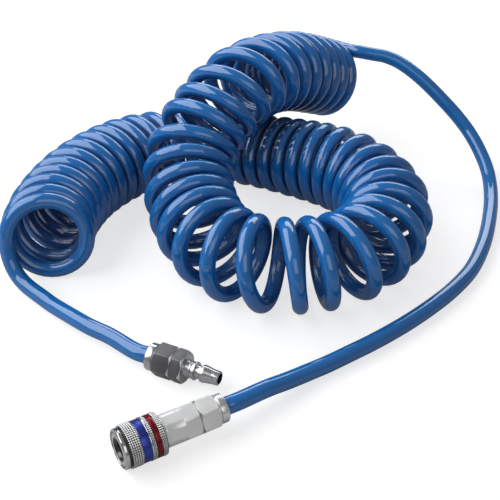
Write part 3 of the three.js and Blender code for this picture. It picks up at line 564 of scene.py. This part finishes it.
def metal_material(name, dark, light, rough, turned=True, metallic=1.0, grain=1.0):
    """Metal with a faint clouded tone and fine handling marks. It has turning lines round its
    axis, or finer lines across where it isn't turned."""
    n = Nodes(name)
    spot = n.add("ShaderNodeTexCoord").outputs["Object"]
    cloud = n.noise(spot, 120.0, 3.0)
    n.set(Base_Color=n.ramp(cloud, [(0.35, dark), (0.65, light)]), Metallic=metallic)
    marks = n.noise(spot, 700.0, 4.0, 0.65)
    n.set(Roughness=n.grey(marks, rough, rough + 0.12, 0.42, 0.75))
    stretch = (2600.0, 12.0, 12.0) if turned else (260.0, 2400.0, 2400.0)
    first = n.bump(n.noise(spot, 1.0, 1.0, stretch=stretch), 0.000008 * grain, 0.4)
    n.set(Normal=n.bump(marks, 0.000003 * grain, 0.4, first))
    return n.material


def anodised_material(name, dark, light):
    """Dyed aluminium: a clouded tone, fine turning lines and slight wear in its gloss."""
    n = Nodes(name)
    spot = n.add("ShaderNodeTexCoord").outputs["Object"]
    cloud = n.noise(spot, 160.0, 3.0)
    rings = n.noise(spot, 1.0, 1.0, stretch=(1900.0, 10.0, 10.0))
    n.set(Base_Color=n.ramp(n.mix(0.4, cloud, rings), [(0.35, dark), (0.65, light)]))
    n.set(Metallic=0.75)
    n.set(Roughness=n.grey(n.noise(spot, 900.0, 3.0, 0.6), 0.24, 0.4, 0.4, 0.75))
    n.set(Normal=n.bump(rings, 0.000010, 0.5))
    return n.material


def rubber_material(name, dark, light):
    n = Nodes(name)
    spot = n.add("ShaderNodeTexCoord").outputs["Object"]
    cloud = n.noise(spot, 260.0, 4.0)
    n.set(Base_Color=n.ramp(cloud, [(0.3, dark), (0.7, light)]))
    n.set(Roughness=n.grey(cloud, 0.5, 0.7))
    n.set(Normal=n.bump(n.noise(spot, 1500.0, 3.0), 0.00002, 0.4))
    return n.material


# The last colour is the painted shade inside the coil.
BLUE = hose_material(
    "polyurethane", (0.005, 0.138, 0.44), (0.008, 0.182, 0.56), (0.026, 0.024, 0.085), 0.05
)
NICKEL = metal_material("nickel", (0.56, 0.56, 0.565), (0.66, 0.66, 0.66), 0.12)
NICKEL_HEX = metal_material(
    "nickel_hexagon", (0.88, 0.88, 0.885), (0.92, 0.92, 0.92), 0.28,
    turned=False, metallic=0.4, grain=0.08,
)
COLLAR = metal_material("collar_nickel", (0.74, 0.74, 0.745), (0.82, 0.82, 0.82), 0.26, grain=0.4)
SATIN = metal_material("satin_nickel", (0.42, 0.42, 0.425), (0.52, 0.52, 0.52), 0.2, grain=0.5)
POLISHED = metal_material(
    "polished_nickel", (0.56, 0.56, 0.565), (0.62, 0.62, 0.625), 0.08, grain=0.3
)
# Painted shade: a near-black metal for grooves and recesses, dark only because shade falls there.
PAINTED_GROOVE_SHADE = metal_material("sleeve_groove_painted_shade", (0.05, 0.05, 0.052), (0.09, 0.09, 0.092), 0.36)
# Painted shade: a near-black metal for the insides of the bores, which are dark only because shade
# falls there.
PAINTED_BORE_SHADE = metal_material("bore_painted_shade", (0.06, 0.06, 0.062), (0.12, 0.12, 0.122), 0.2)
GUNMETAL = metal_material(
    "gunmetal", (0.115, 0.115, 0.12), (0.155, 0.155, 0.16), 0.36,
    turned=False, metallic=0.7, grain=0.4,
)
EDGE_STEEL = metal_material(
    "edge_steel", (0.7, 0.7, 0.705), (0.8, 0.8, 0.8), 0.34, metallic=0.6
)
PLUG_STEEL = metal_material("plug_steel", (0.48, 0.48, 0.485), (0.58, 0.58, 0.585), 0.2)
STEEL = metal_material("steel", (0.58, 0.58, 0.58), (0.7, 0.7, 0.7), 0.1)
BRASS = metal_material("brass", (0.5, 0.34, 0.12), (0.62, 0.45, 0.18), 0.22)
BLUE_BAND = anodised_material("blue_anodised", (0.036, 0.055, 0.37), (0.046, 0.075, 0.45))
RED_BAND = anodised_material("red_anodised", (0.20, 0.008, 0.014), (0.26, 0.011, 0.018))
RUBBER = rubber_material("rubber", (0.010, 0.010, 0.011), (0.026, 0.026, 0.028))


def dress(piece, *materials):
    piece.data.materials.clear()
    for m in materials:
        piece.data.materials.append(m)


def dress_node(name, material):
    """Gives a carried-over CAD node its material, in each slot that it has."""
    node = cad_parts[name]
    if node.data.materials:
        for k in range(len(node.data.materials)):
            node.data.materials[k] = material
    else:
        node.data.materials.append(material)


def paint(piece, index, where):
    """Gives a material slot to the faces for which where(centre, normal) is true."""
    for polygon in piece.data.polygons:
        if where(polygon.center, polygon.normal):
            polygon.material_index = index


def off_axis(at):
    """How far a point of a turned piece is from the piece's axis."""
    return math.hypot(at.y, at.z)


def chamfered(at, normal):
    """Whether a face of a turned piece is on a chamfer of its hexagon's ends."""
    return 0.25 < abs(normal.x) < 0.97 and off_axis(at) > (HEX_FLAT - HEX_CORNER_CUT) * MM


def stands_for(piece, body, slot, *nodes):
    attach(piece, body)
    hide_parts(*nodes)


# ---- Hose -------------------------------------------------------------------------------------
route, socket_exit = hose_route()
hose = sweep("hose", route * MM, HOSE_DIAMETER / 2 * MM, HOSE_SIDES, floor=HOSE_FLOOR * MM)
dress(hose, BLUE)
stands_for(
    hose, "hose_and_fittings", "polyurethane", "hose_coil", "hose_tail_plug", "hose_tail_socket"
)


# ---- Socket -----------------------------------------------------------------------------------
def cut_with(piece, cutter):
    """Cuts a closed mesh out of a piece, and takes the cutter away."""
    modifier = piece.modifiers.new("cut", "BOOLEAN")
    modifier.operation = "DIFFERENCE"
    modifier.solver = "EXACT"
    modifier.object = cutter
    graph = bpy.context.evaluated_depsgraph_get()
    mesh = bpy.data.meshes.new_from_object(piece.evaluated_get(graph))
    piece.modifiers.clear()
    old = piece.data
    piece.data = mesh
    bpy.data.meshes.remove(old)
    bpy.data.objects.remove(cutter)


def ball_angle(k):
    return math.radians(30 + 360 / BALL_COUNT * k)


def front_body():
    """The body with the mouth, the seal's groove, the valve's seat and its barrel, and a tapered
    hole for each ball."""
    made = lathe(
        "front_body",
        [
            (0.3, 7.9), (2.3, 6.3), (12.2, 6.3), (12.2, 7.7), (14.2, 7.7), (14.2, 6.3),
            (19, 6.3), (19, 5.4), (21, 5.4), (21, 7.2), (36.3, 7.2), (36.3, 8.2),
            (22.6, 8.2), (22.2, 9.2), (4.6, 9.2), (4.6, 10.9), (0.9, 10.9), (0.3, 10.3),
        ],
        BODY_SIDES,
    )
    hole_outline = [(-1, 0), (-1, 2.1), (1.2, 2.1), (1.8, 2.4), (9, 2.4), (9, 0)]
    for k in range(BALL_COUNT):
        hole = spun(
            "hole",
            lambda a: hole_outline,
            even(HOLE_SIDES),
            SOCKET_PLACE
            @ Matrix.Rotation(ball_angle(k), 4, "X")
            @ Matrix.Translation(Vector((BALL_PLACE, 0, 5.2)) * MM)
            @ Matrix.Rotation(-math.pi / 2, 4, "Y"),
        )
        cut_with(made, hole)
    made.data.set_sharp_from_angle(angle=math.radians(SHARP))
    dress(made, NICKEL, PAINTED_BORE_SHADE)
    # Painted shade: everything within 8.05 mm of the axis, the mouth's cone and the bore, gets the
    # dark material.
    paint(made, 1, lambda at, normal: off_axis(at) < 8.05 * MM)
    return made


def rear_body():
    """The guide collar, the neck, the long hexagon, the spigot and the stem, with the valve's
    room inside."""
    start, end = SOCKET_HEX_START, SOCKET_HEX_END

    def column(angle):
        r = hex_radius(angle, SOCKET_ROLL)
        first, second = min(r, FIRST_LAND_RADIUS), min(r, SECOND_LAND_RADIUS)
        outline = [
            (23.6, 10.65), (24.1, 11.15), (27.4, 11.15), (27.4, HEX_FLAT), (start, HEX_FLAT),
            (start + chamfer_depth(first, HEX_CHAMFER), first),
            (start + FIRST_LAND_LENGTH, first), (start + FIRST_LAND_LENGTH + STEP, second),
            (start + LANDS_LENGTH, second), (start + LANDS_LENGTH + STEP, r),
            (end - chamfer_depth(r, HEX_CHAMFER), r), (end, HEX_FLAT - HEX_EDGE),
            *spigot_and_stem(end),
            (end, STEM_BORE), (end - 2, FLOW_BORE), (38, FLOW_BORE), (38, 6.8), (36.6, 6.8),
            (36.6, 8.5), (23.6, 8.5),
        ]
        return softened(outline, 0.14)

    angles = hex_angles((16.5, 18.5, 21.5, 23.0), SOCKET_ROLL)
    made = spun("rear_body", column, angles, SOCKET_PLACE)
    dress(made, NICKEL_HEX)
    return made


def grip_nut(name, place, start, roll, materials):
    """A hexagon with a round collar, bored for the spigot, the clamp ring's cone and the hose.
    Its materials are those of the flats, the collar and the chamfers."""
    hex_end = start + NUT_HEX
    end = hex_end + NUT_COLLAR
    front = start + SEAT_GAP
    cone = start + SPIGOT_LENGTH + SEAT_GAP + CLAMP_LENGTH - CLAMP_CONE + CLAMP_GAP
    edge = COLLAR_RADIUS - COLLAR_CHAMFER

    def column(angle):
        r = hex_radius(angle, roll)
        depth = chamfer_depth(r, HEX_CHAMFER)
        outline = [
            (front, HEX_FLAT - HEX_EDGE), (front + depth, r), (hex_end - depth, r),
            (hex_end, HEX_FLAT - HEX_EDGE),
            (hex_end, edge), (hex_end + COLLAR_CHAMFER, edge),
            (hex_end + 2 * COLLAR_CHAMFER, COLLAR_RADIUS),
            (end - COLLAR_CHAMFER, COLLAR_RADIUS), (end, edge), (end, COLLAR_BORE),
            (cone + CONE_LENGTH, COLLAR_BORE), (cone, NUT_BORE), (front, NUT_BORE),
        ]
        return softened(outline, 0.14)

    made = spun(name, column, hex_angles(roll=roll), place)
    dress(made, *materials)
    paint(made, 1, lambda at, normal: at.x > (hex_end + 0.1) * MM)
    paint(made, 2, lambda at, normal: at.x < hex_end * MM and chamfered(at, normal))
    return made


def knurl(name, start, end, inner, outer, rows, depth):
    """A ring with rows of small domed points on its outside, between grooves painted dark as
    shade.
    """
    edge = 0.25  # plain at each end, and how far the end faces are turned down
    steps = rows * KNURL_STEPS
    first, length = start + edge, end - start - 2 * edge

    def column(angle):
        out = [(start, inner), (start, outer - edge)]
        across = abs(2 * (KNURL_TEETH * angle / (2 * math.pi) % 1) - 1)
        for k in range(steps + 1):
            along = abs(2 * (rows * k / steps % 1) - 1)
            cut = min(1.0, (across**2 + along**2) * 0.8)
            out.append((first + length * k / steps, outer - depth * cut))
        out += [(end, outer - edge), (end, inner)]
        return out

    made = spun(name, column, even(KNURL_TEETH * KNURL_STEPS), SOCKET_PLACE, sharp=75)
    dress(made, NICKEL, PAINTED_GROOVE_SHADE)
    low, high = (inner + 0.1) * MM, (outer - depth * 0.72) * MM
    # Painted shade: the deep parts of the grooves between the points get the dark material.
    paint(made, 1, lambda at, normal: low < off_axis(at) < high and abs(normal.x) < 0.9)
    return made


def sleeve():
    """The release sleeve, with its ramp for the balls inside and its knurled grip outside."""
    land = 9.8
    inner = [
        (27.1, 11.55), (10.5, 11.55), (10.5, land), (BALL_PLACE, land), (4.9, land + 0.56),
        (4.9, 11.2), (0, 11.2),
    ]
    nose = [(0, 12.3), (0.8, 13.1), (2.6, 13.1), (3.0, 12.7), (4.2, 12.7)]
    shell = lathe("sleeve_shell", [*inner, *nose, (4.2, CORE), (27.1, CORE)])
    dress(shell, SATIN, PAINTED_GROOVE_SHADE, POLISHED)

    def outside(at, first, last, radius):
        return first * MM < at.x < last * MM and off_axis(at) > radius * MM

    paint(shell, 2, lambda at, normal: outside(at, 0.02, 2.7, 12.2))
    # Painted shade: the groove behind the nose gets the dark material.
    paint(shell, 1, lambda at, normal: outside(at, 2.62, 4.19, 12.5))
    grip = knurl("sleeve_grip", 4.2, 11.5, CORE - 0.2, KNURL_RADIUS, 5, 0.5)
    return shell, grip


def band(name, start, end, radius, material):
    """A plain coloured ring on the sleeve."""
    bevel = 0.2
    made = lathe(
        name,
        [
            (start, SEAT), (start, radius - bevel), (start + bevel, radius),
            (end - bevel, radius), (end, radius - bevel), (end, SEAT),
        ],
    )
    dress(made, material)
    return made


socket_front = front_body()
stands_for(socket_front, "hose_and_fittings", "nickel", "socket_front_body")
socket_rear = rear_body()
stands_for(socket_rear, "hose_and_fittings", "nickel", "socket_rear_body")
socket_nut = grip_nut(
    "socket_grip_nut", SOCKET_PLACE, SOCKET_HEX_END, SOCKET_ROLL, (NICKEL_HEX, COLLAR, NICKEL)
)
stands_for(socket_nut, "hose_and_fittings", "nickel", "socket_nut")

for made in sleeve():
    stands_for(made, "sleeve", "satin_nickel", "release_sleeve")

blue_ring = band("blue_band", 11.8, 16.8, 13.6, BLUE_BAND)
stands_for(blue_ring, "sleeve", "blue_anodised", "sleeve_blue_band")

lip = lathe(
    "narrow_lip", [(17.1, SEAT), (17.1, 13.75), (17.35, 14.0), (18.1, 14.0), (18.1, SEAT)]
)
dress(lip, NICKEL)
stands_for(lip, "sleeve", "nickel", "sleeve_narrow_ring")
narrow = knurl("narrow_knurl", 18.1, 20.5, SEAT, 13.9, 2, 0.4)
stands_for(narrow, "sleeve", "nickel", "sleeve_narrow_ring")

red_ring = band("red_band", 20.8, 23.7, 13.8, RED_BAND)
stands_for(red_ring, "sleeve", "red_anodised", "sleeve_red_band")
rim = knurl("rear_rim", 24.0, 27.4, SEAT, KNURL_RADIUS, 3, 0.45)
stands_for(rim, "sleeve", "satin_nickel", "sleeve_rear_rim")

seal = lathe(
    "mouth_seal", [(12.4, 6.2), (12.4, 7.4), (14.0, 7.4), (14.0, 6.2)], SMALL_SIDES, round_by=0.5
)
dress(seal, RUBBER)
stands_for(seal, "hose_and_fittings", "rubber", "nose_seal")

plunger = lathe(
    "poppet",
    [
        (18, 0), (18, 4.3), (18.5, 4.8), (22.7, 4.8), (22.7, 6.9), (30.1, 6.9), (30.1, 5.9),
        (25.1, 5.9), (25.1, 0),
    ],
    SMALL_SIDES,
)
dress(plunger, BRASS)
stands_for(plunger, "valve", "brass", "valve_poppet")

half_circle = [
    (-BALL_RADIUS * math.cos(math.pi * i / BALL_STEPS),
     BALL_RADIUS * math.sin(math.pi * i / BALL_STEPS))
    for i in range(1, BALL_STEPS)
]
half_circle = [(-BALL_RADIUS, 0), *half_circle, (BALL_RADIUS, 0)]
for k in range(BALL_COUNT):
    turn = ball_angle(k)
    centre = Vector((BALL_PLACE, -math.sin(turn) * BALL_RING, math.cos(turn) * BALL_RING)) * MM
    place = SOCKET_PLACE @ Matrix.Translation(centre)
    ball = spun(f"ball_{k + 1}", lambda a: half_circle, even(2 * BALL_STEPS), place)
    dress(ball, STEEL)
    stands_for(ball, f"ball_{k + 1}", "steel", f"lock_ball_{k + 1}")


def spring(part, start, end, mean_radius, wire_radius, turns):
    """A helical spring wound along the socket's axis from its start to its end."""
    steps = round(turns * SPRING_STEPS)
    angle = np.linspace(0, 2 * math.pi * turns, steps + 1)
    along = np.linspace(start, end, steps + 1)
    line = np.stack([along, np.cos(angle) * mean_radius, np.sin(angle) * mean_radius], 1)
    line = line + np.array(SOCKET_MOUTH)
    made = sweep(f"{part}_helix", line * MM, wire_radius * MM, WIRE_SIDES)
    dress(made, STEEL)
    stands_for(made, "hose_and_fittings", "steel", f"{part}_spring")
    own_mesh(made)


spring("sleeve", 11.4, 22.7, 10.5, 0.6, turns=4.5)
spring("valve", 25.85, 37.25, 5.1, 0.45, turns=5)


# ---- Plug -------------------------------------------------------------------------------------
def plug_body():
    """The nose with its locking groove, the shank, the hexagon, the spigot and the stem."""
    start, end = PLUG_HEX_START, PLUG_HEX_END

    def column(angle):
        r = hex_radius(angle)
        outline = [
            (0, 3.6), (0, 4.3), (0.5, 4.9), (4.7, 5.05), (10.8, 6), (12.6, 6), (13.5, 4.7),
            (16.8, 4.7), (17.2, 6.4), (18.1, 6.4), (18.2, 6), (19.19, 6), (19.49, 5.4),
            (20.09, 5.4), (20.39, 6), (21.41, 6), (21.71, 5.4), (22.31, 5.4), (22.61, 6),
            (start, 6), (start, HEX_FLAT - HEX_EDGE),
            (start + chamfer_depth(r, PLUG_HEX_CHAMFER), r),
            (end - chamfer_depth(r, HEX_CHAMFER), r), (end, HEX_FLAT - HEX_EDGE),
            *spigot_and_stem(end),
            (start + 2, STEM_BORE), (start, FLOW_BORE),
        ]
        return softened(outline, 0.12)

    made = spun("plug_stem", column, hex_angles(), PLUG_PLACE)
    dress(made, GUNMETAL, PLUG_STEEL, EDGE_STEEL, PAINTED_BORE_SHADE)
    paint(made, 1, lambda at, normal: at.x < (start + 0.05) * MM or at.x > (end + 0.1) * MM)
    paint(made, 2, lambda at, normal: start * MM < at.x < end * MM and chamfered(at, normal))
    # Painted shade: the nose's bore gets the dark material.
    paint(made, 3, lambda at, normal: off_axis(at) < 3.65 * MM and at.x < end * MM)
    return made


plug_stem = plug_body()
stands_for(plug_stem, "hose_and_fittings", "gunmetal", "plug_body")
plug_nut = grip_nut(
    "plug_grip_nut", PLUG_PLACE, PLUG_HEX_END, 0.0, (GUNMETAL, PLUG_STEEL, EDGE_STEEL)
)
stands_for(plug_nut, "hose_and_fittings", "gunmetal", "plug_nut")

for node, material in (
    ("hose_end_plug", BLUE),
    ("hose_end_socket", BLUE),
    ("plug_clamp_ring", BRASS),
    ("socket_clamp_ring", BRASS),
    ("valve_seal", RUBBER),
):
    dress_node(node, material)


# ---- Floor, light and world ---------------------------------------------------------------------
FLOOR_REACH = 6.0
FLOOR_MIDDLE = (0.17, 0.12, -0.0004)
FLOOR_GREY = 0.45
MIRRORED_FLOOR = 0.08  # how bright the floor is by itself where metal and gloss show it
NEAR, FAR = 0.4, 1.4  # from the middle of the floor
NEAR_WHITE, FAR_WHITE = 0.7, 1.0  # how bright the floor is by itself for the camera there
DIM_WORLD, MIRRORED_WORLD = 0.08, 0.25
LAMP_TARGET = (0.15, 0.12, 0.03)


def make_floor():
    """A pale floor that the lamps light near the object. It is made as white for the camera by
    its own light, which grows with the distance from the object as the lamps' light fades."""
    mesh = bpy.data.meshes.new("floor")
    reach = FLOOR_REACH
    corners = [(-reach, -reach, 0), (reach, -reach, 0), (reach, reach, 0), (-reach, reach, 0)]
    mesh.from_pydata(corners, [], [(0, 1, 2, 3)])
    floor = bpy.data.objects.new("floor", mesh)
    floor.location = FLOOR_MIDDLE
    bpy.context.collection.objects.link(floor)
    n = Nodes("floor")
    n.set(Base_Color=(FLOOR_GREY, FLOOR_GREY, FLOOR_GREY, 1), Roughness=0.9)
    n.set(Specular_IOR_Level=0.0)
    path = n.add("ShaderNodeLightPath")
    mirrored = n.add(
        "ShaderNodeMath",
        {0: path.outputs["Is Glossy Ray"], 1: path.outputs["Is Transmission Ray"]},
        operation="MAXIMUM",
    )
    shown = n.grey(mirrored.outputs[0], 0.0, MIRRORED_FLOOR, 0.0, 1.0)
    spot = n.add("ShaderNodeTexCoord").outputs["Object"]
    away = n.add("ShaderNodeVectorMath", {0: spot}, operation="LENGTH").outputs["Value"]
    white = n.grey(away, NEAR_WHITE, FAR_WHITE, NEAR, FAR)
    seen = n.grey(path.outputs["Is Camera Ray"], 0.0, white, 0.0, 1.0)
    strength = n.add("ShaderNodeMath", {0: shown, 1: seen}, operation="ADD")
    n.set(Emission_Color=(1, 1, 1, 1), Emission_Strength=strength.outputs[0])
    mesh.materials.append(n.material)


def make_area(name, place, size, power, colour=(1, 1, 1)):
    """A soft lamp that points at the middle of the object."""
    data = bpy.data.lights.new(name, "AREA")
    data.shape = "RECTANGLE"
    data.size, data.size_y = size
    data.energy = power
    data.color = colour
    lamp = bpy.data.objects.new(name, data)
    lamp.location = place
    lamp.rotation_mode = "QUATERNION"
    lamp.rotation_quaternion = (Vector(LAMP_TARGET) - Vector(place)).to_track_quat("-Z", "Y")
    bpy.context.collection.objects.link(lamp)


def make_world():
    """White for the camera, dim in reflections, and dimmer still as light on the object."""
    world = bpy.data.worlds.new("studio")
    world.use_nodes = True
    nodes, links = world.node_tree.nodes, world.node_tree.links
    sky = nodes["Background"]
    sky.inputs["Color"].default_value = (1, 1, 1, 1)
    path = nodes.new("ShaderNodeLightPath")
    mirrored = nodes.new("ShaderNodeMapRange")
    mirrored.inputs["To Min"].default_value = DIM_WORLD
    mirrored.inputs["To Max"].default_value = MIRRORED_WORLD
    strength = nodes.new("ShaderNodeMapRange")
    strength.inputs["To Max"].default_value = 1.0
    links.new(path.outputs["Is Glossy Ray"], mirrored.inputs["Value"])
    links.new(mirrored.outputs["Result"], strength.inputs["To Min"])
    links.new(path.outputs["Is Camera Ray"], strength.inputs["Value"])
    links.new(strength.outputs["Result"], sky.inputs["Strength"])
    bpy.context.scene.world = world


make_floor()
make_area("key", (-0.75, 0.75, 1.15), (2.3, 1.5), 31, (0.97, 0.985, 1.0))
make_area("fill", (-0.2, -1.3, 1.0), (1.4, 1.0), 5)
make_area("back", (1.1, 1.2, 0.9), (1.6, 0.7), 11)
make_world()
bpy.context.scene.view_settings.view_transform = "Standard"
